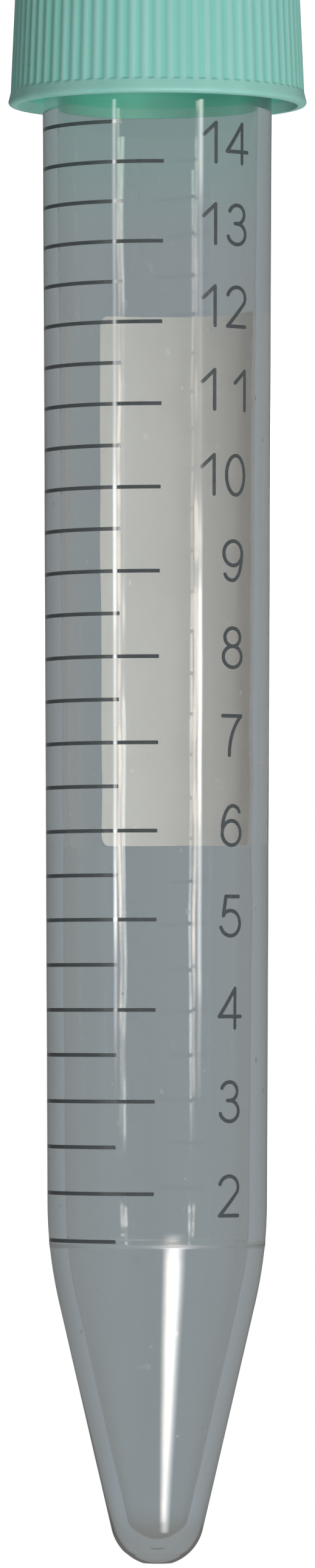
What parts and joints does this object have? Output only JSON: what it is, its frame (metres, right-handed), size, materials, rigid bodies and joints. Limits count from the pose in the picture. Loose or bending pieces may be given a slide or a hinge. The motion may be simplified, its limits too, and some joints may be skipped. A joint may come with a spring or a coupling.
{
  "type": "conical laboratory tube",
  "caption": "Translucent conical laboratory tube with graduation marks, numbers and a white writing patch, closed by a ribbed mint-green screw cap and standing on that cap.",
  "frame": {"origin": "centre of the cap's flat top, which is the face the tube stands on", "axes": "+Z along the tube's axis from the cap's flat top to the conical tip; -Y is the side with the graduation marks and numbers; -X is the reader's right when the tube is held cap up"},
  "size_m": [0.0222, 0.0222, 0.12],
  "materials": {
    "tube_plastic": "translucent natural polypropylene, glossy moulded skin",
    "cap_plastic": "mint-green moulded polyethylene, soft sheen",
    "disc_foam": "soft white sealing sheet",
    "black_ink": "thin glossy black screen print",
    "white_ink": "matt white writing ink"
  },
  "bodies": {
    "cap": {"cap": "cap_plastic"},
    "liner": {"cap_liner": "disc_foam"},
    "tube": {"tube": "tube_plastic", "graduation_lines": "black_ink", "scale_numbers": "black_ink", "writing_patch": "white_ink"}
  },
  "joints": [
    {"name": "unscrew_turn", "type": "hinge", "parent": "cap", "child": "liner", "pos_m": [0, 0, 0.0018], "axis": [0, 0, 1], "range_deg": [0, 540]},
    {"name": "unscrew_rise", "type": "slide", "parent": "liner", "child": "tube", "axis": [0, 0, 1], "range_m": [0, 0.0045]}
  ],
  "couplings": [
    {"joint": "unscrew_rise", "follows": "unscrew_turn", "m_per_rad": 0.00047746}
  ]
}
